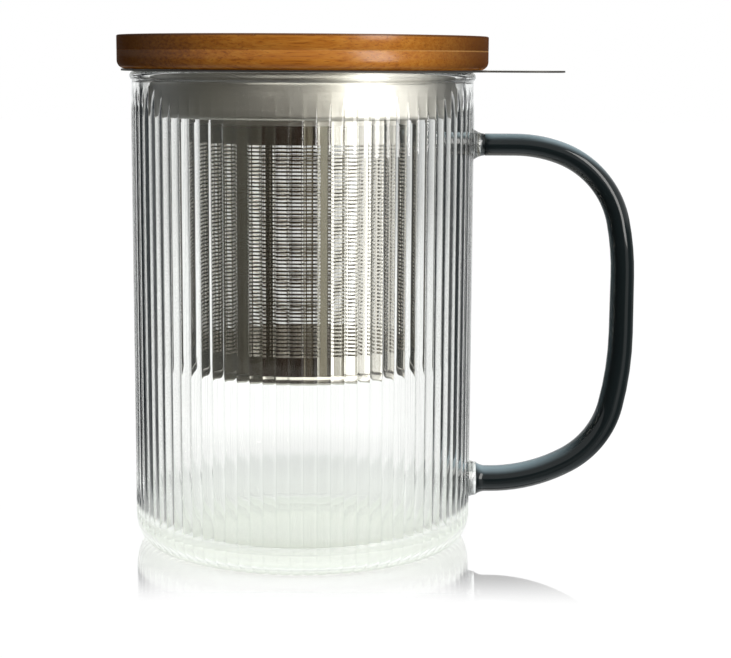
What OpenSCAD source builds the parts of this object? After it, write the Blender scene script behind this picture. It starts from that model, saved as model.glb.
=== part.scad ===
// Glass tea mug with a ribbed body, a rod handle, a lift-out steel infuser and a lift-off wooden lid.
// Millimetres. The origin is the middle of the mug's flat base, +Z is up and +X points to the handle.

/* [Mug] */
// Height of the rim above the base
mug_h = 116.8; // [106:0.1:150]
// Diameter over the crests of the ribs
mug_d = 84.4; // [74:0.1:100]
// Glass thickness behind the valleys of the ribs
wall_t = 1.9; // [1.4:0.1:2.6]
// Glass thickness of the base
base_t = 4.5; // [3:0.1:8]
// Number of ribs round the body
rib_count = 84; // [40:1:100]
// Height of a rib's crest above the valleys
rib_depth = 0.55; // [0.3:0.05:0.7]
// Length over which the ribs fade into the smooth neck
rib_fade = 3; // [2:0.1:4]
// Width of the rounded corner outside the base
corner_w = 3.9; // [2:0.1:6]
// Height of the rounded corner outside the base
corner_h = 7; // [3:0.1:9]
// Radius of the corner inside the base
inner_corner_r = 5; // [2:0.1:7]
// Thickness of the round bead at the rim
bead_d = 2.4; // [1.8:0.1:3]
// How far the bead stands out past the rib crests
bead_out = 0.3; // [0:0.05:0.8]
// Rounding of the rim's inner edge
lip_r = 0.7; // [0.3:0.05:0.8]

/* [Handle] */
// Diameter of the glass rod at its upper root
rod_top_d = 5.5; // [4.5:0.1:7.5]
// Diameter of the glass rod at its lower root
rod_low_d = 6.6; // [5:0.1:8]
// Distance from the rib crests to the middle of the grip
grip_gap = 37.8; // [37:0.1:50]
// Distance from the rim down to the rod's upper root
handle_drop = 17.7; // [13:0.1:26]
// Height of the rod's lower root above the base
handle_rise = 14.4; // [13:0.1:22]
// Radius of the tight part of the upper corner
top_corner_r = 23.2; // [16:0.1:27]
// Radius of the tight part of the lower corner
low_corner_r = 22; // [14:0.1:22.5]

/* [Handle welds] */
// Diameter of the upper weld where it meets the body
top_weld_d = 8; // [7.6:0.1:10]
// Distance from the rib crests to the rod's upper end
top_weld_l = 2.6; // [1.5:0.1:4]
// Diameter of the lower weld where it meets the body
low_weld_d = 9.4; // [8.6:0.1:12]
// Distance from the rib crests to the rod's lower end
low_weld_l = 1.6; // [1:0.1:2.4]
// Diameter of the rod's flared lower end
flare_d = 8.4; // [8.1:0.1:9.2]
// Length of the rod's flared lower end
flare_l = 2.6; // [1:0.1:3.4]

/* [Infuser] */
// How far the flange reaches past the rim's bead
flange_over = 2; // [0.5:0.1:8]
// Thickness of the flange
flange_t = 0.5; // [0.4:0.1:1]
// Length of the lifting tab outside the flange
tab_l = 20; // [12:0.5:30]
// Width of the lifting tab
tab_w = 22; // [14:0.5:23]
// Radius of the fillets between the flange and the tab
tab_fillet_r = 4; // [1:0.5:6]
// Gap between the collar and the mug's inner wall
collar_gap = 2.15; // [0.5:0.05:5]
// Depth of the collar below the rim
collar_h = 11; // [9:0.1:20]
// Sheet thickness of the collar
collar_t = 0.6; // [0.4:0.1:1]
// Radius of the collar's lower corner
collar_corner_r = 1.2; // [1.1:0.1:2]
// Length of the sleeve that holds the basket
sleeve_h = 1.4; // [1:0.1:4]
// Outer diameter of the basket
basket_d = 55.2; // [40:0.1:60]
// Sheet thickness of the basket wall
basket_t = 0.4; // [0.3:0.05:0.8]
// Depth of the basket's underside below the rim
basket_drop = 73.5; // [50:0.5:85]
// Plain band above the holes, below the collar
upper_band = 5; // [2:0.1:15]
// Plain band below the holes
lower_band = 7; // [4:0.1:15]
// Diameter of a hole in the basket wall
hole_d = 2; // [1:0.1:2.4]
// Spacing of the rows of holes
hole_pitch = 4.2; // [3.5:0.1:8]
// Number of holes in a row
holes_round = 28; // [12:1:32]

/* [Basket base] */
// Height of the rim of the pressed base
cap_h = 2.2; // [1:0.1:5]
// Sheet thickness of the base
cap_t = 0.4; // [0.3:0.05:0.8]
// Diameter of a drain hole
drain_d = 2; // [1:0.1:2.4]
// Spacing of the rings of drain holes
drain_pitch = 4; // [3.5:0.1:6]

/* [Lid] */
// How far the lid reaches past the flange
lid_over = 1; // [0:0.1:5]
// Thickness of the upper board
upper_board_t = 3.6; // [2:0.1:6]
// Thickness of the lower board
lower_board_t = 4.5; // [3:0.1:8]
// Radius of the rounded lower edge
lid_edge_r = 2; // [0.5:0.1:2.8]
// Radius of the top edge
lid_top_r = 0.4; // [0.2:0.1:1]
// Height of the plug under the lid
plug_h = 6; // [4.5:0.1:7]
// Gap between the plug and the collar, spanned by the seal
plug_gap = 2.5; // [1.5:0.1:3.5]
// Height of the seal ring
seal_h = 2.6; // [1.6:0.1:3]
// Depth of the seal's groove in the plug
groove_depth = 1.4; // [0.8:0.1:2.5]
// Height of the plug below the groove
groove_foot = 1.6; // [1:0.1:2]
// Running clearance between the seal and the collar
seal_gap = 0.3; // [0.2:0.05:0.5]

/* [Hidden] */
$fn = 96;
// Steps of the curve outside the base
CORNER_STEPS = 6;
// Sides of the handle's rod, and the turn from one of its rings to the next
ROD_SIDES = 20;
RING_TURN = 6;
// Turns of a handle corner's three bends, and their radii as shares of the tight one, from the end named first
TOP_TURNS = [20, 58, 12];
TOP_SHARES = [1.42, 1, 2.84];
LOW_TURNS = [13.5, 48, 28.5];
LOW_SHARES = [3.64, 1, 1.85];
// Rings of the rod's flared end
FLARE_STEPS = 4;
// Overlap that makes neighbouring shapes of one piece a single solid
JOIN = 0.05;
// Gap between sheets that are seated on each other
SEAT = 0.02;
// Extra length of a cutting shape
CUT = 1;

mug_r = mug_d / 2;
trim_r = mug_r + JOIN;
valley_r = mug_r - rib_depth;
bore_r = valley_r - wall_t;
rib_half_angle = 180 / rib_count;
rib_centre_r = (mug_r * mug_r - valley_r * valley_r) / (2 * (mug_r - valley_r * cos(rib_half_angle)));
rib_r = mug_r - rib_centre_r;
bead_r = mug_r + bead_out;
bead_centre_r = bead_r - bead_d / 2;
bead_centre_z = mug_h - bead_d / 2;

top_root = [mug_r + top_weld_l, mug_h - handle_drop];
low_root = [mug_r + low_weld_l, handle_rise];
top_radii = top_corner_r * TOP_SHARES;
low_radii = low_corner_r * LOW_SHARES;
top_angles = running(TOP_TURNS, 0);
low_angles = running(LOW_TURNS, 90);
grip_x = mug_r + grip_gap;
top_bend = [grip_x, top_root[1]] - [travel(top_radii, top_angles, len(top_radii))[0], 0];
low_bend = [grip_x, low_root[1]] - [0, travel(low_radii, low_angles, len(low_radii))[1]];

collar_r = bore_r - collar_gap;
collar_bore_r = collar_r - collar_t;
collar_low_z = mug_h - collar_h;
sleeve_low_z = collar_low_z - sleeve_h;
basket_r = basket_d / 2;
sleeve_bore_r = basket_r + SEAT;
flange_r = bead_r + flange_over;
tab_reach = flange_r + tab_l;
basket_low_z = mug_h - basket_drop;
wall_low_z = basket_low_z + cap_t + SEAT;
holes_top_z = sleeve_low_z - upper_band;
holes_low_z = basket_low_z + lower_band;
hole_rows = floor((holes_top_z - holes_low_z) / hole_pitch) + 1;
drain_rings = floor((basket_r - basket_t - drain_pitch / 2) / drain_pitch);

lid_r = flange_r + lid_over;
lid_low_z = mug_h + flange_t;
lid_seam_z = lid_low_z + lower_board_t;
lid_top_z = lid_seam_z + upper_board_t;
plug_r = collar_bore_r - plug_gap;
plug_low_z = lid_low_z - plug_h;
groove_r = plug_r - groove_depth;
groove_low_z = plug_low_z + groove_foot;
seal_r = collar_bore_r - seal_gap;

// Running total of a list, from a first value
function running(list, first, i = 0) =
    i < len(list) ? concat([first], running(list, first + list[i], i + 1)) : [first];

// Where the first bends of a corner carry the rod, outwards and upwards
function travel(radii, angles, bends) = bends == 0 ? [0, 0] :
    travel(radii, angles, bends - 1) + arc_step(radii[bends - 1], angles[bends - 1], angles[bends]);

// Chord of one bend; an angle of 0 points outwards and 90 points down
function arc_step(radius, from, to) = radius * [sin(to) - sin(from), cos(to) - cos(from)];

// Rings of a corner as [centre outwards, centre height, angle]
function corner_rings(start, radii, angles) = [
    for (i = [0:len(radii) - 1])
        let (turn = angles[i + 1] - angles[i], steps = ceil(turn / RING_TURN))
            for (k = [(i == 0 ? 0 : 1):steps])
                let (angle = angles[i] + turn * k / steps)
                    concat(start + travel(radii, angles, i) + arc_step(radii[i], angles[i], angle), [angle])
];

// Quarter ellipse from the foot of the corner to its top
function corner_points() = [
    for (i = [0:CORNER_STEPS])
        let (angle = 90 * i / CORNER_STEPS)
            [trim_r - corner_w + corner_w * sin(angle), corner_h - corner_h * cos(angle)]
];

module ring(outer_r, inner_r, low_z, high_z) {
    translate([0, 0, low_z])
        linear_extrude(high_z - low_z)
            difference() {
                circle(r = outer_r);
                circle(r = inner_r);
            }
}

// ---- glass body ----

// Plan of the ribbed body: round ribs side by side on a solid core
module rib_outline() {
    circle(r = valley_r - JOIN);
    for (i = [0:rib_count - 1])
        rotate(i * 360 / rib_count)
            translate([rib_centre_r, 0])
                circle(r = rib_r, $fn = 24);
}

// Half section that trims the ribs at the base corner and below the rim
module rib_envelope() {
    neck_r = valley_r - JOIN;
    polygon(concat(
        [[0, 0]],
        corner_points(),
        [
            [trim_r, mug_h - bead_d - rib_fade],
            [neck_r, mug_h - bead_d],
            [neck_r, bead_centre_z],
            [0, bead_centre_z]
        ]
    ));
}

module rim_section() {
    translate([bead_centre_r, bead_centre_z])
        circle(d = bead_d, $fn = 48);
    translate([bore_r + lip_r, mug_h - lip_r])
        circle(r = lip_r, $fn = 48);
    translate([bore_r + lip_r, bead_centre_z])
        square([bead_centre_r - bore_r - lip_r, bead_d / 2]);
    translate([bore_r, bead_centre_z - CUT])
        square([bead_centre_r - bore_r, CUT + bead_d / 2 - lip_r]);
}

module cavity_section() {
    square_h = bead_centre_z - base_t;
    translate([0, base_t + inner_corner_r])
        square([bore_r, square_h - inner_corner_r + JOIN]);
    translate([0, base_t])
        square([bore_r - inner_corner_r, square_h]);
    translate([bore_r - inner_corner_r, base_t + inner_corner_r])
        circle(r = inner_corner_r);
}

module mug_body() {
    color("azure", 0.35) {
        difference() {
            intersection() {
                linear_extrude(bead_centre_z) rib_outline();
                rotate_extrude() rib_envelope();
            }
            rotate_extrude() intersection() {
                cavity_section();
                square([bore_r, mug_h]);
            }
        }
        rotate_extrude() rim_section();
    }
}

// ---- handle ----

// Radius of the rod at a height
function rod_radius(z) =
    let (share = (z - low_root[1]) / (top_root[1] - low_root[1]))
        (rod_low_d + share * (rod_top_d - rod_low_d)) / 2;

// The flared end as rings, from where it starts to widen to the lower weld
function flare_rings() = [
    for (k = [1:FLARE_STEPS])
        [low_root[0] + flare_l * (1 - k / FLARE_STEPS), low_root[1], 180]
];

// Radius of a ring: the rod's own, or wider on the flared end
function ring_radius(ring) =
    let (share = 1 - (ring[0] - low_root[0]) / flare_l, plain = rod_radius(ring[1]))
        ring[2] < 180 || share < 0 ? plain : plain + (flare_d / 2 - plain) * share * share;

module handle() {
    rings = concat(
        [concat(top_root, [0])],
        corner_rings(top_bend, top_radii, top_angles),
        corner_rings(low_bend, low_radii, low_angles),
        [[low_root[0] + flare_l, low_root[1], 180]],
        flare_rings()
    );
    last = len(rings) - 1;
    color("darkslategray", 0.9)
        polyhedron(
            points = [
                for (ring = rings)
                    for (j = [0:ROD_SIDES - 1])
                        let (
                            radius = ring_radius(ring),
                            up = radius * cos(360 * j / ROD_SIDES),
                            across = radius * sin(360 * j / ROD_SIDES)
                        )
                            [ring[0] + up * sin(ring[2]), across, ring[1] + up * cos(ring[2])]
            ],
            faces = concat(
                [[for (j = [ROD_SIDES - 1:-1:0]) j]],
                [
                    for (i = [0:last - 1])
                        for (j = [0:ROD_SIDES - 1])
                            let (a = i * ROD_SIDES, next = (j + 1) % ROD_SIDES)
                                [a + j, a + next, a + ROD_SIDES + next, a + ROD_SIDES + j]
                ],
                [[for (j = [0:ROD_SIDES - 1]) last * ROD_SIDES + j]]
            )
        );
}

// Clear weld from the ribs to the end of the rod
module weld(root_d, end_d, length, z) {
    root_depth = rib_depth + 2 * JOIN;
    slope = (root_d - end_d) / length;
    difference() {
        translate([mug_r - root_depth, 0, z])
            rotate([0, 90, 0])
                cylinder(d1 = root_d + slope * root_depth, d2 = end_d, h = length + root_depth, $fn = 48);
        translate([0, 0, z - root_d])
            linear_extrude(2 * root_d) rib_outline();
    }
}

module upper_handle_weld() {
    color("azure", 0.5)
        weld(top_weld_d, rod_top_d, top_weld_l, top_root[1]);
}

module lower_handle_weld() {
    color("azure", 0.5)
        weld(low_weld_d, flare_d, low_weld_l, low_root[1]);
}

// ---- infuser ----

module tab_outline() {
    half_w = tab_w / 2;
    fillet_y = half_w + tab_fillet_r;
    fillet_x = sqrt(pow(flange_r + tab_fillet_r, 2) - fillet_y * fillet_y);
    touch = flange_r / (flange_r + tab_fillet_r);
    translate([0, -half_w])
        square([tab_reach - half_w, tab_w]);
    translate([tab_reach - half_w, 0])
        circle(d = tab_w);
    for (side = [-1, 1])
        scale([1, side])
            difference() {
                polygon([
                    [fillet_x, half_w - JOIN],
                    [fillet_x, fillet_y],
                    [fillet_x * touch, fillet_y * touch],
                    [fillet_x * touch - JOIN, half_w - JOIN]
                ]);
                translate([fillet_x, fillet_y])
                    circle(r = tab_fillet_r);
            }
}

module infuser_flange() {
    color("lightsteelblue")
        translate([0, 0, mug_h])
            linear_extrude(flange_t)
                difference() {
                    union() {
                        circle(r = flange_r);
                        tab_outline();
                    }
                    circle(r = collar_bore_r);
                }
}

module collar_section() {
    translate([collar_bore_r, collar_low_z + collar_corner_r])
        square([collar_t, collar_h - collar_corner_r]);
    translate([sleeve_bore_r, collar_low_z])
        square([collar_r - collar_corner_r - sleeve_bore_r, collar_t]);
    translate([sleeve_bore_r, sleeve_low_z])
        square([collar_t, sleeve_h + collar_t]);
    intersection() {
        translate([collar_r - collar_corner_r, collar_low_z + collar_corner_r])
            difference() {
                circle(r = collar_corner_r);
                circle(r = collar_corner_r - collar_t);
            }
        translate([collar_r - collar_corner_r, collar_low_z])
            square(collar_corner_r);
    }
}

module infuser_collar() {
    color("silver")
        rotate_extrude() collar_section();
}

// Cutters for the holes, each long enough to pass the sheet
module wall_holes() {
    for (row = [0:hole_rows - 1])
        for (i = [0:holes_round - 1])
            translate([0, 0, holes_low_z + row * hole_pitch])
                rotate([0, 90, i * 360 / holes_round])
                    translate([0, 0, basket_r - basket_t - CUT])
                        cylinder(d = hole_d, h = basket_t + 2 * CUT, $fn = 24);
}

module basket_wall() {
    color("gray")
        difference() {
            ring(basket_r, basket_r - basket_t, wall_low_z, collar_low_z + collar_t);
            wall_holes();
        }
}

module drain_holes() {
    circle(d = drain_d, $fn = 24);
    for (ring_no = [1:drain_rings])
        for (i = [0:6 * ring_no - 1])
            rotate(i * 60 / ring_no)
                translate([ring_no * drain_pitch, 0])
                    circle(d = drain_d, $fn = 24);
}

module basket_base() {
    color("gainsboro") {
        translate([0, 0, basket_low_z])
            linear_extrude(cap_t)
                difference() {
                    circle(r = basket_r + SEAT + cap_t);
                    drain_holes();
                }
        ring(basket_r + SEAT + cap_t, basket_r + SEAT, basket_low_z + cap_t, basket_low_z + cap_h);
    }
}

// ---- lid ----

// Half section of a board whose outer edge is rounded above or below
module board_section(low_z, high_z, edge_r, edge_z) {
    translate([0, low_z])
        square([lid_r - edge_r, high_z - low_z]);
    translate([0, edge_z > 0 ? low_z : low_z + edge_r])
        square([lid_r, high_z - low_z - edge_r]);
    translate([lid_r - edge_r, edge_z > 0 ? high_z - edge_r : low_z + edge_r])
        circle(r = edge_r, $fn = 48);
}

module lid_upper_board() {
    color("peru")
        rotate_extrude()
            board_section(lid_seam_z, lid_top_z, lid_top_r, 1);
}

module lid_lower_board() {
    color("sienna")
        rotate_extrude()
            difference() {
                union() {
                    board_section(lid_low_z, lid_seam_z, lid_edge_r, -1);
                    translate([0, plug_low_z])
                        square([plug_r, plug_h + JOIN]);
                }
                translate([groove_r, groove_low_z])
                    square([groove_depth + CUT, seal_h]);
            }
}

module lid_seal_ring() {
    lobe_r = seal_h / 2 - SEAT;
    color("whitesmoke")
        translate([0, 0, groove_low_z + seal_h / 2])
            rotate_extrude() {
                translate([seal_r - lobe_r, 0])
                    circle(r = lobe_r, $fn = 48);
                translate([groove_r + SEAT, -lobe_r])
                    square([seal_r - lobe_r - groove_r - SEAT, 2 * lobe_r]);
            }
}

mug_body();
handle();
upper_handle_weld();
lower_handle_weld();
infuser_flange();
infuser_collar();
basket_wall();
basket_base();
lid_upper_board();
lid_lower_board();
lid_seal_ring();
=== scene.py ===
"""Looks and studio of a ribbed glass tea mug with a rod handle, a steel infuser and a wooden lid."""

import math

import bmesh
import bpy
from mathutils import Matrix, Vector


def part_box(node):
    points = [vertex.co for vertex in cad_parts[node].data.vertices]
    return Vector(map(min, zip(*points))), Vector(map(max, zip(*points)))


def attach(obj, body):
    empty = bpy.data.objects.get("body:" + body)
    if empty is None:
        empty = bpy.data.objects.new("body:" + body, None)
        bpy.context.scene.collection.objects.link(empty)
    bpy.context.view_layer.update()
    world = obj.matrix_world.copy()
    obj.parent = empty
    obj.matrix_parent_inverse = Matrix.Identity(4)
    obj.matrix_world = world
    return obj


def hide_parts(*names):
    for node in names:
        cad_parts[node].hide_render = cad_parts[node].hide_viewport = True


bl_info = {
    "name": "Tea mug with infuser",
    "version": (1, 0, 0),
    "blender": (4, 5, 0),
    "location": "View3D > Sidebar > Tea Mug",
    "description": "Builds the glass, steel and wooden pieces of a tea mug round its fixed frame",
    "category": "Add Mesh",
}

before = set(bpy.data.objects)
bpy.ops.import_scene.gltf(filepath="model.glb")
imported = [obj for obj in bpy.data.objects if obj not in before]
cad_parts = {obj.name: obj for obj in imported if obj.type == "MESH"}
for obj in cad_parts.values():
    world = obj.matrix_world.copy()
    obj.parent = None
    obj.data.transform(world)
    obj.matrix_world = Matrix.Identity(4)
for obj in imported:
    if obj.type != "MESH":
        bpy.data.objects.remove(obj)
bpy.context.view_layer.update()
BOX = {node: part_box(node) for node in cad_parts}

MM = 0.001
TURN = 2 * math.pi
UP = (0.0, 0.0, 1.0)

# A hair's gap between welded sheets, behind the seal and under the base's pierced disc
SEAT = 0.02 * MM

# The mug's own levels and radii, read from the frame
RIM_Z = BOX["mug_body"][1].z
BEAD_R = BOX["mug_body"][1].y
FLANGE_R = BOX["infuser_flange"][1].y
FLANGE_LOW, FLANGE_TOP = BOX["infuser_flange"][0].z, BOX["infuser_flange"][1].z
TAB_REACH = BOX["infuser_flange"][1].x
TOP_ROOT_X = BOX["upper_handle_weld"][1].x
TOP_ROOT_Z = (BOX["upper_handle_weld"][0].z + BOX["upper_handle_weld"][1].z) / 2
LOW_ROOT_X = BOX["lower_handle_weld"][1].x
LOW_ROOT_Z = (BOX["lower_handle_weld"][0].z + BOX["lower_handle_weld"][1].z) / 2
COLLAR_R = BOX["infuser_collar"][1].y
SLEEVE_LOW = BOX["infuser_collar"][0].z
BASKET_R = BOX["basket_wall"][1].y
BASKET_LOW = BOX["basket_base"][0].z
CAP_R = BOX["basket_base"][1].y
CAP_TOP = BOX["basket_base"][1].z
LID_R = BOX["lid_upper_board"][1].x
LID_LOW = FLANGE_TOP
LID_SEAM = BOX["lid_upper_board"][0].z
LID_TOP = BOX["lid_upper_board"][1].z
PLUG_LOW = BOX["lid_lower_board"][0].z
SEAL_R = BOX["lid_seal_ring"][1].x
SEAL_LOW, SEAL_TOP = BOX["lid_seal_ring"][0].z, BOX["lid_seal_ring"][1].z

# Turns of a handle corner's three bends, and their radii as shares of the tight one
TOP_TURNS, TOP_SHARES = (20, 58, 12), (1.42, 1, 2.84)
LOW_TURNS, LOW_SHARES = (13.5, 48, 28.5), (3.64, 1, 1.85)


# ---- settings ----


def number(name, default, description, **kind):
    """A plain number that a user may change."""
    return bpy.props.FloatProperty(name=name, default=default, description=description, **kind)


def whole_number(name, default, least, description):
    """A count that a user may change."""
    return bpy.props.IntProperty(name=name, default=default, min=least, description=description)


def length(name, default, description):
    """A size in metres that a user may change."""
    return number(name, default, description, unit="LENGTH", min=0, precision=5)


def rotation(name, degrees, description):
    """An angle that a user may change; its default is given in degrees."""
    return number(name, math.radians(degrees), description, subtype="ANGLE")


def colour(name, default, description):
    """A linear colour that a user may change."""
    return bpy.props.FloatVectorProperty(
        name=name, default=default, description=description, subtype="COLOR", min=0, max=1
    )


class GlassSettings(bpy.types.PropertyGroup):
    """Sizes and tints of the glass body and its handle"""

    rib_count: whole_number("Ribs", 84, 12, "Ribs round the body")
    rib_depth: length("Rib depth", 0.27 * MM, "Height of a rib's crest above the valleys")
    rib_fade: length("Rib fade", 9 * MM, "Length over which the ribs fade below the rim")
    bead_out: length("Bead overhang", 0.3 * MM, "How far the rim's bead stands out past the ribs")
    bead_size: length("Bead thickness", 2.4 * MM, "Thickness of the bead at the rim")
    wall: length("Wall", 2.45 * MM, "Glass from the bore to the crests of the ribs")
    base: length("Base", 4.5 * MM, "Thickness of the base")
    corner_width: length("Corner width", 3.9 * MM, "Width of the rounded corner outside the base")
    corner_height: length("Corner height", 7 * MM, "Height of the rounded corner outside the base")
    inner_corner_width: length("Inner corner width", 5 * MM, "Width of the rounded corner inside the base")
    inner_corner: length("Inner corner height", 5 * MM, "Height of the rounded corner inside the base")
    rod_top: length("Upper rod", 5.5 * MM, "Diameter of the rod at its upper root")
    rod_low: length("Lower rod", 6.6 * MM, "Diameter of the rod at its lower root")
    flare: length("Flare", 8.4 * MM, "Diameter of the rod's flared lower end")
    flare_length: length("Flare length", 2.6 * MM, "Length of the rod's flared lower end")
    top_corner: length("Upper corner", 23.2 * MM, "Radius of the tight part of the upper corner")
    low_corner: length("Lower corner", 22 * MM, "Radius of the tight part of the lower corner")
    clear_tint: colour("Clear glass", (0.985, 0.99, 0.98), "Tint of the clear glass")
    base_tint: colour("Thick glass", (0.90, 0.93, 0.86), "Tint of the clear glass where it is thick")
    # Painted shade: the darker tint of the rib valleys stands in for the dark lines the ribs show by bending
    # light
    valley_painted_shade: colour("Rib valleys", (0.90, 0.91, 0.90), "Tint in the valleys between the ribs")
    dark_tint: colour("Dark glass", (0.006, 0.009, 0.010), "Colour of the handle's glass")
    # Painted reflection: the lighter colour the handle's glass shows along its upper and inner side
    painted_reflection_tint: colour("Smoky glass", (0.27, 0.37, 0.42), "Colour of the handle's glass where it is clearer")


class InfuserSettings(bpy.types.PropertyGroup):
    """Sizes and colours of the steel infuser"""

    sheet: length("Sheet", 0.2 * MM, "Thickness of the basket's sheet")
    collar_sheet: length("Collar sheet", 0.6 * MM, "Thickness of the collar's sheet")
    collar_depth: length("Collar depth", 11 * MM, "Depth of the collar below the rim")
    collar_corner: length("Collar corner", 1.2 * MM, "Radius of the collar's lower corner")
    tab_width: length("Tab width", 22 * MM, "Width of the lifting tab")
    tab_fillet: length("Tab fillet", 4 * MM, "Radius of the fillets beside the lifting tab")
    columns: whole_number("Columns", 172, 12, "Holes in a row")
    rows: whole_number("Rows", 56, 2, "Rows of holes")
    holes_top: length("Holes' top", 99.9 * MM, "Height of the top row's upper edge")
    holes_low: length("Holes' foot", 50.0 * MM, "Height of the bottom row's lower edge")
    seam_turn: rotation(
        "Seam's place", -120, "Direction of the plain strip along the wall's welded seam, from +X"
    )
    seam_width: length("Seam strip", 3.3 * MM, "Width of the plain strip along the wall's welded seam")
    steel: colour("Steel", (0.60, 0.58, 0.54), "Colour of the steel")


class LidSettings(bpy.types.PropertyGroup):
    """Sizes and colours of the wooden lid and its seal"""

    edge: length("Lower edge", 2 * MM, "Radius of the rounded lower edge")
    crisp_edge: length("Upper edge", 0.35 * MM, "Radius of the crisp upper edge")
    plug_inset: length("Plug gap", 2.5 * MM, "Gap between the plug and the collar's bore")
    groove: length("Groove", 1.4 * MM, "Depth of the seal's groove")
    deep_wood: colour("Deep wood", (0.17, 0.045, 0.006), "Dark fibres of the wood")
    warm_wood: colour("Warm wood", (0.44, 0.150, 0.016), "Main colour of the wood")
    pale_wood: colour("Pale wood", (0.60, 0.26, 0.040), "Light flecks of the wood")
    # Partly the end grain's own colour and partly painted shade where the lid's side turns from the light;
    # it also darkens the top rim
    end_wood: colour("End grain", (0.060, 0.020, 0.007), "End grain at the two ends of the boards")
    seam: colour("Glue line", (0.75, 0.45, 0.16), "Line between the two boards")
    silicone: colour("Silicone", (0.80, 0.80, 0.76), "Colour of the seal")


class StageSettings(bpy.types.PropertyGroup):
    """Camera and lights"""

    focal: number("Focal length", 86.65, "In millimetres", min=1)
    camera_x: length("Camera offset", 15.69 * MM, "How far the camera stands to the right of the mug")
    camera_back: length("Camera distance", 437.96 * MM, "Distance of the camera in front of the mug")
    camera_z: length("Camera height", 119.7 * MM, "Height of the camera above the floor")
    pitch: rotation("Pitch", 8.7, "How far the camera looks down")
    roll: rotation("Roll", 0.315, "Turn about the line of sight")
    key_power: number("Key light", 7.5, "Power of the soft key light", min=0, unit="POWER")
    fill_power: number("Fill light", 1.2, "Power of the overhead light", min=0, unit="POWER")
    ambient: number("Ambient", 0.22, "Level of the light from all round on matte surfaces", min=0)


class MugSettings(bpy.types.PropertyGroup):
    """Everything that a user may change"""

    glass: bpy.props.PointerProperty(type=GlassSettings)
    infuser: bpy.props.PointerProperty(type=InfuserSettings)
    lid: bpy.props.PointerProperty(type=LidSettings)
    stage: bpy.props.PointerProperty(type=StageSettings)


# ---- shader graphs ----


class Value:
    """A node's output that can stand in an expression, which then adds its Math nodes."""

    def __init__(self, tree, socket):
        self.tree = tree
        self.socket = socket

    def maths(self, operation, *others, swapped=False):
        """Adds a Math node of this value and the others, or if swapped, of the others and this value."""
        node = self.tree.nodes.new("ShaderNodeMath")
        node.operation = operation
        terms = (*others, self) if swapped else (self, *others)
        for entry, term in zip(node.inputs, terms):
            connect(self.tree, entry, term)
        return Value(self.tree, node.outputs[0])

    def __add__(self, other):
        return self.maths("ADD", other)

    __radd__ = __add__

    def __sub__(self, other):
        return self.maths("SUBTRACT", other)

    def __rsub__(self, other):
        return self.maths("SUBTRACT", other, swapped=True)

    def __mul__(self, other):
        return self.maths("MULTIPLY", other)

    __rmul__ = __mul__

    def __truediv__(self, other):
        return self.maths("DIVIDE", other)

    def __pow__(self, power):
        return self.maths("POWER", power)

    def __abs__(self):
        return self.maths("ABSOLUTE")

    def at_least(self, other):
        """The larger of two values."""
        return self.maths("MAXIMUM", other)

    def at_most(self, other):
        """The smaller of two values."""
        return self.maths("MINIMUM", other)

    def clamped(self):
        """This value, kept between 0 and 1."""
        node = self.tree.nodes.new("ShaderNodeClamp")
        connect(self.tree, node.inputs["Value"], self)
        return Value(self.tree, node.outputs[0])


def connect(tree, entry, term):
    """Links a value to an input, or writes a plain number, colour or vector into it."""
    if isinstance(term, Value):
        tree.links.new(term.socket, entry)
    else:
        entry.default_value = (*term, 1) if entry.type == "RGBA" else term


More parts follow.
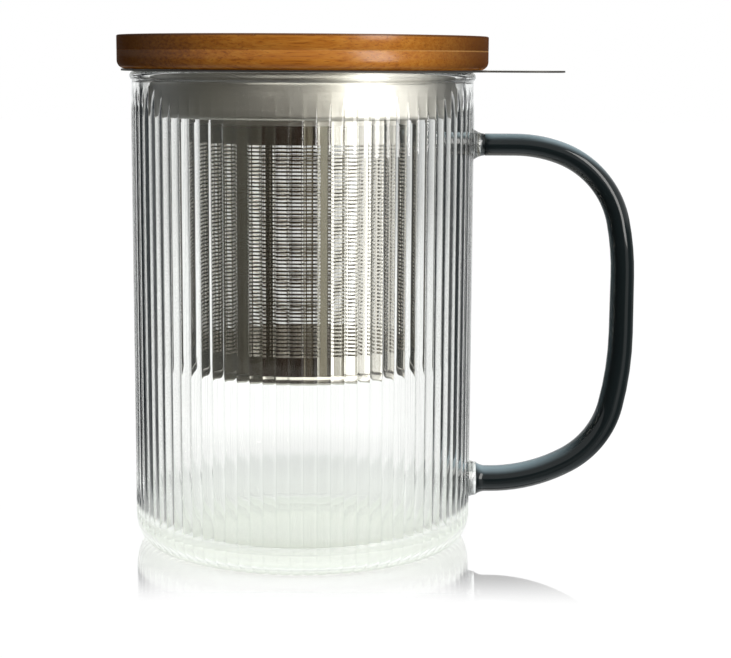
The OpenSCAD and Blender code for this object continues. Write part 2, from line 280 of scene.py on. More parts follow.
class Graph:
    """A node tree that is written as calls."""

    def __init__(self, tree):
        self.tree = tree
        tree.nodes.clear()

    def node(self, kind, settings=None, sockets=None, out=0):
        """Adds a node, sets what it is, then feeds its sockets, and gives back one output."""
        node = self.tree.nodes.new("ShaderNode" + kind)
        for key, item in (settings or {}).items():
            if key == "stops":
                self.set_stops(node.color_ramp, item)
            else:
                setattr(node, key, item)
        for key, item in (sockets or {}).items():
            connect(self.tree, node.inputs[key], item)
        return Value(self.tree, node.outputs[out]) if node.outputs else None

    def set_stops(self, ramp, stops):
        """Gives a colour ramp its stops as (place, colour)."""
        while len(ramp.elements) < len(stops):
            ramp.elements.new(1)
        for element, (place, shade) in zip(ramp.elements, stops):
            element.position = place
            element.color = (*shade, 1)

    def place(self):
        """Coordinates in the part's own frame, in metres."""
        return self.node("TexCoord", out="Object")

    def axes(self, vector):
        """A vector's three parts."""
        return [self.node("SeparateXYZ", sockets={"Vector": vector}, out=axis) for axis in "XYZ"]

    def ray(self, kind):
        """1 for rays of a kind, such as Camera or Glossy, and 0 for others."""
        return self.node("LightPath", out=f"Is {kind} Ray")

    def depth(self, kind):
        """How many times light was transmitted by glass, or mirrored, on its way."""
        return self.node("LightPath", out=f"{kind} Depth")

    def ramp(self, place, stops):
        """The colour of a place from 0 to 1 between stops of (place, colour)."""
        return self.node("ValToRGB", {"stops": stops}, {"Fac": place})

    def mix(self, share, first, second, blend="MIX"):
        """Mixes two colours."""
        settings = {"data_type": "RGBA", "blend_type": blend}
        return self.node("Mix", settings, {0: share, 6: first, 7: second}, out=2)

    def scaled(self, vector, scale):
        """A vector with its axes stretched."""
        return self.node("VectorMath", {"operation": "MULTIPLY"}, {0: vector, 1: scale})

    def facing(self, direction):
        """How far the surface faces a direction, from -1 to 1."""
        normal = self.node("TexCoord", out="Normal")
        return self.node("VectorMath", {"operation": "DOT_PRODUCT"}, {0: normal, 1: direction}, out="Value")

    def noise(self, vector, scale, detail=2.0, distortion=0.0, roughness=0.5):
        """Cloudy variation round 0.5."""
        sockets = {
            "Vector": vector,
            "Scale": scale,
            "Detail": detail,
            "Distortion": distortion,
            "Roughness": roughness,
        }
        return self.node("TexNoise", sockets=sockets, out="Fac")

    def bump(self, height, distance, strength):
        """A normal with shallow relief."""
        return self.node("Bump", sockets={"Height": height, "Distance": distance, "Strength": strength})

    def principled(self, sockets):
        return self.node("BsdfPrincipled", sockets=sockets)

    def blend_shaders(self, share, first, second):
        """The first shader where share is 0, and the second where it is 1."""
        return self.node("MixShader", sockets={0: share, 1: first, 2: second})

    def finish(self, shader):
        """Makes a shader the material's surface."""
        self.node("OutputMaterial", sockets={"Surface": shader})


def material(name):
    """A new material and its empty graph."""
    made = bpy.data.materials.new(name)
    made.use_nodes = True
    return made, Graph(made.node_tree)


def ease(graph, value, low, high):
    """0 below low, 1 above high, and smooth between them."""
    return graph.node("MapRange", {"interpolation_type": "SMOOTHSTEP"}, {0: value, 1: low, 2: high})


def from_axis(x, y):
    """Distance from the mug's axis, for values of a graph."""
    return (x * x + y * y) ** 0.5


def toned(share, shade):
    """A colour made darker or lighter."""
    return [share * part for part in shade]


def unbent(graph, tint):
    """Tinted glass that light crosses without being bent."""
    return graph.node("BsdfTransparent", sockets={"Color": tint})


def let_light_through(graph, shader):
    """Glass that throws a light shadow: lamps and soft light pass straight through it."""
    passing = graph.ray("Shadow").at_least(graph.ray("Diffuse"))
    return graph.blend_shaders(passing, shader, unbent(graph, (0.93, 0.94, 0.93)))


GLASS_IOR = 1.47

# Share of the light that crosses the glass around the foot without being bent
FOOT_CLEARNESS = 0.9


def solid_glass(graph, tint, height, distance, strength):
    """Smooth glass of one tint, with shallow waves of a height in its surface."""
    sockets = {
        "Base Color": tint,
        "Roughness": 0.0,
        "IOR": GLASS_IOR,
        "Transmission Weight": 1.0,
        "Normal": graph.bump(height, distance, strength),
    }
    return graph.principled(sockets)


def clear_glass(glass):
    """Clear ribbed glass: painted shade in the valleys of the ribs, standing in for the dark lines the ribs
    show by bending light, and faintly green where it is thick.

    The cavity's foot and the far faces near the foot bend light hardly at all, so the foot looks clean.
    """
    made, graph = material("clear_ribbed_glass")
    x, y, z = graph.axes(graph.place())
    ribs = y.maths("ARCTAN2", x) * (glass.rib_count / TURN) + glass.rib_count
    phase = 0.5 - abs(ribs.maths("FRACT") - 0.5)
    radius = from_axis(x, y)
    outside = ease(graph, radius, BEAD_R - 1.6 * MM, BEAD_R - 1.2 * MM)
    below_rim = 1 - ease(graph, z, RIM_Z - glass.bead_size - glass.rib_fade, RIM_Z - glass.bead_size)
    # Painted shade in the rib valleys, standing in for the dark lines that the ribs show by bending light
    valley = ease(graph, phase, 0.40, 0.5) * outside * below_rim
    thick = 1 - ease(graph, z, 1 * MM, 2.4 * glass.base)
    tint = graph.mix(thick, glass.clear_tint, glass.base_tint)
    tint = graph.mix(valley, tint, glass.valley_painted_shade, "MULTIPLY")
    waves = graph.noise(graph.scaled(graph.place(), (1, 1, 0.35)), 90, 1.0)
    bent = solid_glass(graph, tint, waves, 0.05 * MM, 0.5)
    corner_top = glass.base + glass.inner_corner
    foot = 1 - ease(graph, z, corner_top, corner_top + 4 * MM)
    cavity = (1 - ease(graph, radius, BEAD_R - 2.2 * MM, BEAD_R - 1.8 * MM)) * ease(graph, z, 3 * MM, 4 * MM)
    leaving = graph.node("NewGeometry", out="Backfacing")
    far_side = leaving * (1 - cavity) + cavity * (1 - leaving)
    corner = 0.35 * cavity * (1 - ease(graph, z, glass.base + 1 * MM, corner_top))
    plain = FOOT_CLEARNESS * corner.at_least(foot * far_side)
    shader = graph.blend_shaders(plain, bent, unbent(graph, (0.97, 0.98, 0.965)))
    graph.finish(let_light_through(graph, shader))
    return made


def weld_glass(glass):
    """Clear glass that was melted on: uneven, with a ring of painted shade at its root, standing in for the
    dark line its fillet shows by bending light.

    The rod's dark glass has run into the outer end of the upper weld.
    """
    made, graph = material("clear_weld_glass")
    lumps = graph.noise(graph.place(), 230, 1.0, 0.4)
    x, y, z = graph.axes(graph.place())
    root = 1 - ease(graph, abs(from_axis(x, y) - BEAD_R - 0.3 * MM), 0.1 * MM, 0.4 * MM)
    upper = ease(graph, z, RIM_Z / 2, RIM_Z / 2 + 1 * MM)
    melted = ease(graph, x, TOP_ROOT_X - 1.3 * MM, TOP_ROOT_X - 0.9 * MM) * upper
    tint = graph.mix(lumps, glass.clear_tint, (0.80, 0.83, 0.82))
    # Painted shade: a dark ring where the weld meets the body, in place of the dark line the fillet shows by
    # bending light
    tint = graph.mix(0.7 * root, tint, (0.05, 0.06, 0.06))
    tint = graph.mix(melted, tint, glass.dark_tint)
    graph.finish(let_light_through(graph, solid_glass(graph, tint, lumps, 0.22 * MM, 0.45)))
    return made


def dark_glass(glass):
    """Smoky teal grey glass with a deep wet gloss, with painted reflection that makes it lighter along its
    upper and inner side and warm underneath.
    """
    made, graph = material("dark_rod_glass")
    upward = graph.facing(UP)
    inward = graph.facing((-1.0, 0.0, 0.0))
    # Painted reflection: lighter teal grey where the rod faces up or towards the mug, warm brown where it
    # faces down
    painted_lighter = ease(graph, upward, 0.42, 1.0) * (1 - 0.5 * ease(graph, inward, 0.2, 0.7))
    painted_lighter = painted_lighter + 0.42 * ease(graph, inward, 0.62, 1.0)
    streaks = graph.noise(graph.scaled(graph.place(), (25, 60, 25)), 1.0, 2.0)
    tint = graph.mix(streaks, glass.dark_tint, toned(1.9, glass.dark_tint))
    tint = graph.mix(painted_lighter, tint, glass.painted_reflection_tint)
    painted_warm_reflection = (0.17, 0.145, 0.12)
    tint = graph.mix(0.8 * ease(graph, -1 * upward, 0.6, 1.0), tint, painted_warm_reflection)
    # An index below that of real glass keeps what the rod mirrors faint
    sockets = {
        "Base Color": tint,
        "Roughness": 0.05,
        "IOR": 1.34,
        "Normal": graph.bump(graph.noise(graph.place(), 45, 1.0), 0.12 * MM, 0.4),
    }
    graph.finish(graph.principled(sockets))
    return made


def steel(name, infuser, grain_scale, roughness, tone_share=1.0, sheared_and_shaded=False):
    """Stainless sheet with fine drawing lines, which are long where grain_scale's X, Y or Z is small.

    A plate with a cut edge has a rim where its faces stand upright that is rougher, as such an edge is, and
    made dark with painted shade.
    """
    made, graph = material(name)
    fine = graph.noise(graph.scaled(graph.place(), grain_scale), 1.0, 3.0)
    cloudy = graph.noise(graph.place(), 55, 2.0)
    tone = toned(tone_share, infuser.steel)
    shade = graph.mix(0.5 * cloudy + 0.5 * fine, toned(0.82, tone), toned(1.12, tone))
    rough = roughness * (0.8 + 0.4 * fine)
    if sheared_and_shaded:
        # Painted shade: upright rim faces are made nearly black; their added roughness is the cut edge's own
        rim = 1 - ease(graph, abs(graph.facing(UP)), 0.5, 0.9)
        shade = graph.mix(rim, shade, (0.055, 0.05, 0.045))
        rough = rough + 0.35 * rim
    sockets = {
        "Base Color": shade,
        "Metallic": 1.0,
        "Roughness": rough,
        "Normal": graph.bump(fine, 0.02 * MM, 0.2),
    }
    graph.finish(graph.principled(sockets))
    return made


def wood(lid):
    """Satin hardwood with straight grain along X, darker at its two ends, partly the end grain's own colour
    and partly painted shade, and one glue line.
    """
    made, graph = material("lid_hardwood")
    place = graph.place()
    x, y, z = graph.axes(place)
    fibres = graph.noise(graph.scaled(place, (70, 1300, 1500)), 1.0, 4.0, 0.3, 0.6)
    rings = graph.noise(graph.scaled(place, (14, 60, 60)), 1.0, 3.0, 0.8)
    flecks = graph.noise(graph.scaled(place, (260, 3200, 3600)), 1.0, 1.0)
    stops = [(0.30, lid.deep_wood), (0.47, lid.warm_wood), (0.72, lid.pale_wood)]
    body = graph.ramp(0.62 * fibres + 0.38 * rings, stops)
    pores = ease(graph, flecks, 0.60, 0.70)
    body = graph.mix(0.5 * pores, body, lid.deep_wood)
    upright = 1 - 0.85 * ease(graph, abs(graph.facing(UP)), 0.6, 0.95)
    # Darker towards the two ends of the boards: partly the end grain's own colour, partly painted shade for
    # the light falling off round the lid's side
    end_grain_and_shade = ease(graph, abs(x), 0.40 * LID_R, LID_R) * upright
    body = graph.mix(0.92 * end_grain_and_shade, body, lid.end_wood)
    seam = 1 - ease(graph, abs(z - LID_SEAM), 0.04 * MM, 0.22 * MM)
    glue = seam * ease(graph, x, -0.1 * LID_R, 0.5 * LID_R)
    body = graph.mix(0.35 * glue, body, lid.seam)
    # Darker in a thin line round the rim of the top face
    near_top = ease(graph, z, LID_TOP - 0.6 * MM, LID_TOP - 0.3 * MM)
    dark_top_rim = near_top * ease(graph, x * x + y * y, 0.96 * LID_R**2, 0.98 * LID_R**2)
    body = graph.mix(0.75 * dark_top_rim, body, lid.end_wood)
    waves = {"wave_type": "BANDS", "bands_direction": "Y", "wave_profile": "SIN"}
    saw = graph.node("TexWave", waves, {"Vector": place, "Scale": 420.0, "Distortion": 0.6}, out="Fac")
    grit = graph.noise(place, 1900, 2.0)
    relief = 0.4 * fibres + 0.3 * flecks + 0.5 * grit + 0.30 * saw * end_grain_and_shade
    # The low index leaves the sheen to the coat, which level faces have less of
    sockets = {
        "Base Color": body,
        "Roughness": 0.44 + 0.2 * fibres,
        "IOR": 1.03,
        "Coat Weight": 0.5 * (1 - end_grain_and_shade) * upright,
        "Coat Roughness": 0.24,
        "Normal": graph.bump(relief, 0.10 * MM, 0.7),
    }
    graph.finish(graph.principled(sockets))
    return made


def silicone(lid):
    """Milky silicone with a soft sheen."""
    made, graph = material("seal_silicone")
    haze = graph.noise(graph.place(), 160, 2.0)
    sockets = {
        "Base Color": graph.mix(haze, lid.silicone, toned(0.9, lid.silicone)),
        "Roughness": 0.42 + 0.1 * haze,
        "Subsurface Weight": 0.3,
        "Subsurface Scale": 1 * MM,
        "Normal": graph.bump(haze, 0.02 * MM, 0.3),
    }
    graph.finish(graph.principled(sockets))
    return made


# ---- mesh making ----


def crease(mesh, degrees):
    """Keeps edges that turn by more than an angle crisp."""
    work = bmesh.new()
    work.from_mesh(mesh)
    limit = math.radians(degrees)
    for edge in work.edges:
        edge.smooth = len(edge.link_faces) == 2 and edge.calc_face_angle(0) < limit
    work.to_mesh(mesh)
    work.free()


def add_piece(name, shape, skin, body, node, slot, crisp=None):
    """Makes a smooth mesh piece that rides on a body, stands for a CAD node and wears its material; slot is
    not used.

    shape is the verts and faces. Edges that turn by more than crisp degrees stay sharp.
    """
    verts, faces = shape
    mesh = bpy.data.meshes.new(name)
    mesh.from_pydata(verts, [], faces)
    work = bmesh.new()
    work.from_mesh(mesh)
    bmesh.ops.recalc_face_normals(work, faces=work.faces)
    work.to_mesh(mesh)
    work.free()
    mesh.shade_smooth()
    if crisp:
        crease(mesh, crisp)
    mesh.materials.append(skin)
    piece = bpy.data.objects.new(name, mesh)
    bpy.context.scene.collection.objects.link(piece)
    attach(piece, body)
    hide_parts(node)
    return piece


def arc(centre, radius, start, stop, steps):
    """Points of an arc in the half section, from one angle in degrees to another."""
    points = []
    for k in range(steps + 1):
        angle = math.radians(start + (stop - start) * k / steps)
        points.append((centre[0] + radius * math.cos(angle), centre[1] + radius * math.sin(angle)))
    return points


def lathe(profile, columns, closed=False, adjust=None):
    """Turns a half section of (radius, height) about Z. An open section starts and ends on the axis.

    adjust(k, i) may give point k of the section in column i another radius, height and angle.
    """
    verts, rows, faces = [], [], []
    for k, (radius, height) in enumerate(profile):
        if radius == 0:
            rows.append([len(verts)] * columns)
            verts.append((0, 0, height))
            continue
        rows.append(list(range(len(verts), len(verts) + columns)))
        for i in range(columns):
            r, z, angle = adjust(k, i) if adjust else (radius, height, TURN * i / columns)
            verts.append((r * math.cos(angle), r * math.sin(angle), z))
    pairs = list(zip(rows, rows[1:]))
    if closed:
        pairs.append((rows[-1], rows[0]))
    for low, high in pairs:
        for i in range(columns):
            j = (i + 1) % columns
            corners = [low[i], low[j], high[j], high[i]]
            faces.append(tuple(dict.fromkeys(corners)))
    return verts, faces


def blend_steps(low, high, steps):
    """Evenly spaced numbers from low to high, both included."""
    return [low + (high - low) * k / steps for k in range(steps + 1)]


def smooth(share):
    """Eases a share from 0 to 1, level at both ends."""
    return share * share * (3 - 2 * share)


# ---- glass body ----


# Places across a rib where the mesh has columns, from one valley (-1) over the crest (0) to the next
RIB_PLACES = (-1, -0.92, -0.82, -0.68, -0.50, -0.26, 0, 0.26, 0.50, 0.68, 0.82, 0.92)


def rib_height(across):
    """Height of a rib, from 1 on its broad crest to 0 in the narrow valleys."""
    return 1 - 0.4 * across**2 - 0.6 * across**4


def body_section(glass):
    """Half section of the body as (radius, height, depth of the ribs), from the base up and back inside."""
    crest = BEAD_R - glass.bead_out
    valley = crest - glass.rib_depth
    bore = crest - glass.wall
    foot = crest - glass.corner_width
    dish = 0.8 * MM
    section = [(0, dish, 0)]
    for radius in (0.30 * foot, 0.60 * foot, 0.80 * foot, 0.87 * foot):
        section.append((radius, dish * (1 - 0.1 * radius / foot), 0))
    for k, radius in enumerate(blend_steps(0.90 * foot, 0.985 * foot, 5)):
        share = k / 5
        section.append((radius, 0.9 * dish * (1 - smooth(share)), 0.8 * share))
    for k in range(15):
        angle = math.radians(90 * k / 14)
        radius = foot + glass.corner_width * math.sin(angle)
        section.append((radius, glass.corner_height * (1 - math.cos(angle)), 1))
    neck = 0.4 * MM
    fade_start = RIM_Z - glass.bead_size - glass.rib_fade
    section += [(crest, z, 1) for z in blend_steps(glass.corner_height + 4 * MM, fade_start, 5)]
    for k in range(1, 11):
        depth = 1 - smooth(k / 10)
        height = fade_start + glass.rib_fade * k / 10 - neck
        section.append((valley + glass.rib_depth * depth, height, depth))
    half = glass.bead_size / 2
    section += [(r, z, 0) for r, z in arc((BEAD_R - half, RIM_Z - half), half, -58, 90, 14)]
    lip = 0.7 * MM
    section += [(r, z, 0) for r, z in arc((bore + lip, RIM_Z - lip), lip, 90, 180, 6)]
    low = glass.base + glass.inner_corner
    section += [(bore, z, 0) for z in blend_steps(RIM_Z - 4 * MM, low + 2 * MM, 4)]
    for k in range(10):
        angle = math.radians(10 * k)
        radius = bore - glass.inner_corner_width * (1 - math.cos(angle))
        section.append((radius, low - glass.inner_corner * math.sin(angle), 0))
    dip = 0.25 * MM
    section += [(share * bore, glass.base - dip * (1 - share), 0) for share in (0.6, 0.35, 0.15)]
    section.append((0, glass.base - dip, 0))
    return section


def outward(section, k):
    """Normal of the section's outline at a point, as (radial, upward)."""
    before, after = section[max(0, k - 1)], section[min(len(section) - 1, k + 1)]
    across, up = after[0] - before[0], after[1] - before[1]
    size = math.hypot(across, up) or 1
    return up / size, -across / size


class TEAMUG_OT_glass_body(bpy.types.Operator):
    """Build the ribbed glass body"""

    bl_idname = "tea_mug.glass_body"
    bl_label = "Glass body"

    def execute(self, context):
        glass = context.scene.tea_mug.glass
        section = body_section(glass)
        normals = [outward(section, k) for k in range(len(section))]

        def ribbed(k, i):
            radius, height, depth = section[k]
            rib, place = divmod(i, len(RIB_PLACES))
            across = RIB_PLACES[place]
            inset = depth * glass.rib_depth * (1 - rib_height(across))
            angle = TURN * (rib + across / 2) / glass.rib_count
            return radius - inset * normals[k][0], max(0, height - inset * normals[k][1]), angle

        outline = [point[:2] for point in section]
        shape = lathe(outline, glass.rib_count * len(RIB_PLACES), adjust=ribbed)
        add_piece("mug_glass_body", shape, clear_glass(glass), "mug", "mug_body", "clear_glass")
        return {"FINISHED"}


# ---- handle ----


def running(turns, first):
    """Running total of the turns from a first angle."""
    totals = [first]
    for turn in turns:
        totals.append(totals[-1] + turn)
    return [math.radians(total) for total in totals]


def corner_rings(start, radii, angles):
    """Rings of one corner as (outwards, height, angle); an angle of 0 points outwards and 90 down."""
    rings = []
    x, z = start
    for radius, first, last in zip(radii, angles, angles[1:]):
        steps = max(4, round(math.degrees(last - first) / 3))
        for k in range(steps + 1):
            angle = first + (last - first) * k / steps
            out = radius * (math.sin(angle) - math.sin(first))
            up = radius * (math.cos(angle) - math.cos(first))
            if k > 0 or not rings:
                rings.append((x + out, z + up, angle))
        x, z = rings[-1][:2]
    return rings


def corner_size(radii, angles):
    """How far a whole corner carries the rod, outwards and upwards."""
    last = corner_rings((0, 0), radii, angles)[-1]
    return last[0], last[1]


def rod_radius(glass, ring):
    """Radius of the rod at a ring: thinner at the top, and flared where it ends at the lower weld."""
    x, z, angle = ring
    share = (z - LOW_ROOT_Z) / (TOP_ROOT_Z - LOW_ROOT_Z)
    plain = (glass.rod_low + share * (glass.rod_top - glass.rod_low)) / 2
    near_end = 1 - (x - LOW_ROOT_X) / glass.flare_length
    if angle < math.radians(179) or near_end < 0:
        return plain
    return plain + (glass.flare / 2 - plain) * near_end**2.2


def rod_rings(glass):
    """Every ring of the handle from the upper root to the lower one."""
    radii_top = [glass.top_corner * share for share in TOP_SHARES]
    radii_low = [glass.low_corner * share for share in LOW_SHARES]
    top, low = running(TOP_TURNS, 0), running(LOW_TURNS, 90)
    grip_z = TOP_ROOT_Z + corner_size(radii_top, top)[1]
    clearance = 0.12 * MM
    grip_x = BOX["handle"][1].x - clearance - rod_radius(glass, (1, grip_z, 0))
    top_start = (grip_x - corner_size(radii_top, top)[0], TOP_ROOT_Z)
    low_start = (grip_x, LOW_ROOT_Z - corner_size(radii_low, low)[1])
    rings = [(x, TOP_ROOT_Z, 0) for x in blend_steps(TOP_ROOT_X, top_start[0], 4)[:-1]]
    rings += corner_rings(top_start, radii_top, top)
    rings += corner_rings(low_start, radii_low, low)
    flare_x = LOW_ROOT_X + glass.flare_length
    rings += [(x, LOW_ROOT_Z, math.pi) for x in blend_steps(flare_x, LOW_ROOT_X, 8)]
    return rings


def tube(rings, sides):
    """Skins rings in the plane of the handle, with closed ends.

    A ring is the centre's place outwards, its height, the angle and the radius.
    """
    verts, faces = [], []
    for x, z, angle, radius in rings:
        for j in range(sides):
            turn = TURN * j / sides
            up, across = radius * math.cos(turn), radius * math.sin(turn)
            verts.append((x + up * math.sin(angle), across, z + up * math.cos(angle)))
    for k in range(len(rings) - 1):
        for j in range(sides):
            a, b = k * sides + j, k * sides + (j + 1) % sides
            faces.append((a, b, b + sides, a + sides))
    faces.append(tuple(range(sides)))
    faces.append(tuple(range((len(rings) - 1) * sides, len(rings) * sides)))
    return verts, faces


class TEAMUG_OT_handle(bpy.types.Operator):
    """Build the dark glass rod handle"""

    bl_idname = "tea_mug.handle"
    bl_label = "Handle"

    def execute(self, context):
        glass = context.scene.tea_mug.glass
        rings = [(*ring, rod_radius(glass, ring)) for ring in rod_rings(glass)]
        edge = 0.25 * MM
        first, last = rings[0], rings[-1]
        rings.insert(0, (*first[:3], first[3] - edge))
        rings[1] = (first[0] + edge, *first[1:])
        rings.append((*last[:3], last[3] - edge))
        skin = dark_glass(glass)
        add_piece("handle_rod", tube(rings, 40), skin, "mug", "handle", "dark_glass", crisp=60)
        return {"FINISHED"}


class TEAMUG_OT_welds(bpy.types.Operator):
    """Build the two clear welds that carry the handle"""

    bl_idname = "tea_mug.welds"
    bl_label = "Handle welds"

    def execute(self, context):
        glass = context.scene.tea_mug.glass
        skin = weld_glass(glass)
        sunk = BEAD_R - glass.bead_out - 0.8 * glass.rib_depth
        roots = (
            ("upper_handle_weld", TOP_ROOT_X, TOP_ROOT_Z, glass.rod_top / 2, 1.8),
            ("lower_handle_weld", LOW_ROOT_X, LOW_ROOT_Z, glass.flare / 2, 1.3),
        )
        for node, end_x, z, end_r, power in roots:
            low, high = BOX[node]
            root_r = (high.z - low.z) / 2
            rings = []
            for x in blend_steps(sunk, end_x, 12):
                share = (end_x - x) / (end_x - sunk)
                rings.append((x, z, 0, end_r + (root_r - end_r) * share**power))
            add_piece(node + "_glass", tube(rings, 48), skin, "mug", node, "clear_glass", crisp=60)
        return {"FINISHED"}


# ---- infuser ----


def tab_outline(infuser, steps):
    """Outline of the flange with its tab, counterclockwise from the tab's tip."""
    half = infuser.tab_width / 2
    fillet = infuser.tab_fillet
    fillet_y = half + fillet
    fillet_x = math.sqrt((FLANGE_R + fillet) ** 2 - fillet_y**2)
    touch = math.degrees(math.atan2(fillet_y, fillet_x))
    end = arc((TAB_REACH - half, 0), half, 0, 90, 24)
    side = [(x, half) for x in blend_steps(TAB_REACH - half, fillet_x, 4)[1:-1]]
    hollow = arc((fillet_x, fillet_y), fillet, 270, 180 + touch, 12)
    rim = arc((0, 0), FLANGE_R, touch, 180, steps)[1:]
    upper = end + side + hollow + rim
    lower = [(x, -y) for x, y in reversed(upper[1:-1])]
    return upper + lower


def plate(outline, hole_r, low, high, edge):
    """A flat plate with a round hole and softened outer edges. The outline is seen whole from the middle."""
    count = len(outline)
    verts, faces, inward = [], [], []
    for i in range(count):
        before, after = outline[i - 1], outline[(i + 1) % count]
        across, up = after[0] - before[0], after[1] - before[1]
        size = math.hypot(across, up)
        inward.append((-up / size, across / size))
    rows = (
        (0, low + edge, 1),
        (0, high - edge, 1),
        (edge, high, 1),
        (0, high, 0),
        (0, low, 0),
        (edge, low, 1),
    )
    for inset, z, on_outline in rows:
        for (x, y), (nx, ny) in zip(outline, inward):
            if on_outline:
                verts.append((x + inset * nx, y + inset * ny, z))
            else:
                size = math.hypot(x, y)
                verts.append((hole_r * x / size, hole_r * y / size, z))
    for k in range(len(rows)):
        for i in range(count):
            j = (i + 1) % count
            a, b = k * count, (k + 1) % len(rows) * count
            faces.append((a + i, a + j, b + j, b + i))
    return verts, faces


class TEAMUG_OT_flange(bpy.types.Operator):
    """Build the infuser's flange and lifting tab"""

    bl_idname = "tea_mug.flange"
    bl_label = "Infuser flange"

    def execute(self, context):
        infuser = context.scene.tea_mug.infuser
        bore = COLLAR_R - infuser.collar_sheet
        shape = plate(tab_outline(infuser, 150), bore, FLANGE_LOW, FLANGE_TOP, edge=0.06 * MM)
        skin = steel("flange_steel", infuser, (40, 1500, 1500), roughness=0.24, sheared_and_shaded=True)
        add_piece("infuser_flange_plate", shape, skin, "infuser", "infuser_flange", "steel", crisp=20)
        return {"FINISHED"}


class TEAMUG_OT_collar(bpy.types.Operator):
    """Build the infuser's drawn collar"""

    bl_idname = "tea_mug.collar"
    bl_label = "Infuser collar"

    def execute(self, context):
        infuser = context.scene.tea_mug.infuser
        sheet, bend = infuser.collar_sheet, infuser.collar_corner
        low = RIM_Z - infuser.collar_depth
        middle = (RIM_Z + low) / 2
        sleeve_bore = BASKET_R + SEAT
        centre = (COLLAR_R - bend, low + bend)
        outside = [(COLLAR_R, RIM_Z), (COLLAR_R, RIM_Z - 1 * MM), (COLLAR_R, middle)]
        outside += arc(centre, bend, 0, -90, 8)
        fillet = 0.5 * MM
        outside += arc((sleeve_bore + sheet + fillet, low - fillet), fillet, 90, 180, 5)
        outside += [(sleeve_bore + sheet, SLEEVE_LOW), (sleeve_bore, SLEEVE_LOW)]
        inside = [(sleeve_bore, low + sheet)]
        inside += arc(centre, bend - sheet, -90, 0, 6)
        inside += [(COLLAR_R - sheet, middle), (COLLAR_R - sheet, RIM_Z)]
        shape = lathe(outside + inside, 240, closed=True)
        skin = steel("collar_steel", infuser, (25, 25, 2600), roughness=0.36, tone_share=1.1)
        add_piece("infuser_collar_ring", shape, skin, "infuser", "infuser_collar", "steel", crisp=50)
        return {"FINISHED"}


def pierced(rows, columns, place, holes):
    """A sheet of two skins with four-sided holes, closed round the axis.

    place(row, column, inner) puts a point where two lines of the grid cross, and holes(i, j) says
    which of the cells between the lines are open.
    """
    verts, faces = [], []
    for inner in (0, 1):
        for row in rows:
            for column in columns:
                verts.append(place(row, column, inner))

    def index(corner, inner):
        i, j = corner
        return (inner * len(rows) + i) * len(columns) + j % len(columns)

    def is_open(i, j):
        return not 0 <= i < len(rows) - 1 or holes(i, j % len(columns))

    for i in range(len(rows) - 1):
        for j in range(len(columns)):
            if is_open(i, j):
                continue
            a, b, c, d = (i, j), (i, j + 1), (i + 1, j + 1), (i + 1, j)
            for inner in (0, 1):
                skin = [index(corner, inner) for corner in (a, b, c, d)]
                faces.append(skin if inner else skin[::-1])
            sides = (((i - 1, j), a, b), ((i + 1, j), c, d), ((i, j - 1), d, a), ((i, j + 1), b, c))
            for beside, first, last in sides:
                if is_open(*beside):
                    faces.append((index(first, 0), index(last, 0), index(last, 1), index(first, 1)))
    return verts, faces


def hole_lines(low, high, count, share):
    """The two edges of each hole in a row between two ends. A hole takes a share of its pitch."""
    pitch = (high - low) / (count - 1 + share)
    lines = []
    for k in range(count):
        lines += [low + k * pitch, low + (k + share) * pitch]
    return lines


class TEAMUG_OT_basket(bpy.types.Operator):
    """Build the pierced wall of the basket"""

    bl_idname = "tea_mug.basket"
    bl_label = "Basket wall"

    def execute(self, context):
        infuser = context.scene.tea_mug.infuser
        low, high = BOX["basket_wall"]
        tall_share, wide_share = 0.56, 0.70
        heights = hole_lines(infuser.holes_low, infuser.holes_top, infuser.rows, tall_share)
        levels = [low.z, *heights, high.z]
        pitch = TURN / infuser.columns
        half_hole = wide_share * pitch / 2
        half_seam = infuser.seam_width / 2 / BASKET_R
        angles = []
        for k in range(infuser.columns):
            angles += [k * pitch, (k + wide_share) * pitch]

        def place(z, angle, inner):
            radius = BASKET_R - inner * infuser.sheet
            return radius * math.cos(angle), radius * math.sin(angle), z

        def holes(i, j):
            from_seam = (angles[j] + half_hole - infuser.seam_turn + math.pi) % TURN - math.pi
            return i % 2 == 1 and j % 2 == 0 and abs(from_seam) > half_seam + half_hole

        shape = pierced(levels, angles, place, holes)
        grain = (700, 700, 9)
        skin = steel("basket_steel", infuser, grain, roughness=0.10)
        name, node, slot = "basket_pierced_wall", "basket_wall", "perforated_steel"
        mesh = add_piece(name, shape, skin, "infuser", node, slot, crisp=40).data
        # Painted light: the inner skin is a lighter copy of the same steel, so the basket's inside looks
        # brighter through the holes
        painted_light_inner = steel("basket_inner_painted_light_steel", infuser, grain, roughness=0.26, tone_share=1.35)
        mesh.materials.append(painted_light_inner)
        inside = BASKET_R - 0.7 * infuser.sheet
        for face in mesh.polygons:
            reach = max(math.hypot(*mesh.vertices[v].co[:2]) for v in face.vertices)
            face.material_index = 1 if reach < inside else 0
        return {"FINISHED"}


def close_hub(verts, faces, columns, underside, upside):
    """Closes a pierced disc's two skins with a point each on the axis, in place of the wall between them."""
    inner_start = len(verts) // 2
    first_rows = {*range(columns), *range(inner_start, inner_start + columns)}
    faces[:] = [face for face in faces if not first_rows.issuperset(face)]
    hub = len(verts)
    verts += [(0, 0, underside), (0, 0, upside)]
    for j in range(columns):
        after = (j + 1) % columns
        faces.append((hub, after, j))
        faces.append((hub + 1, inner_start + j, inner_start + after))


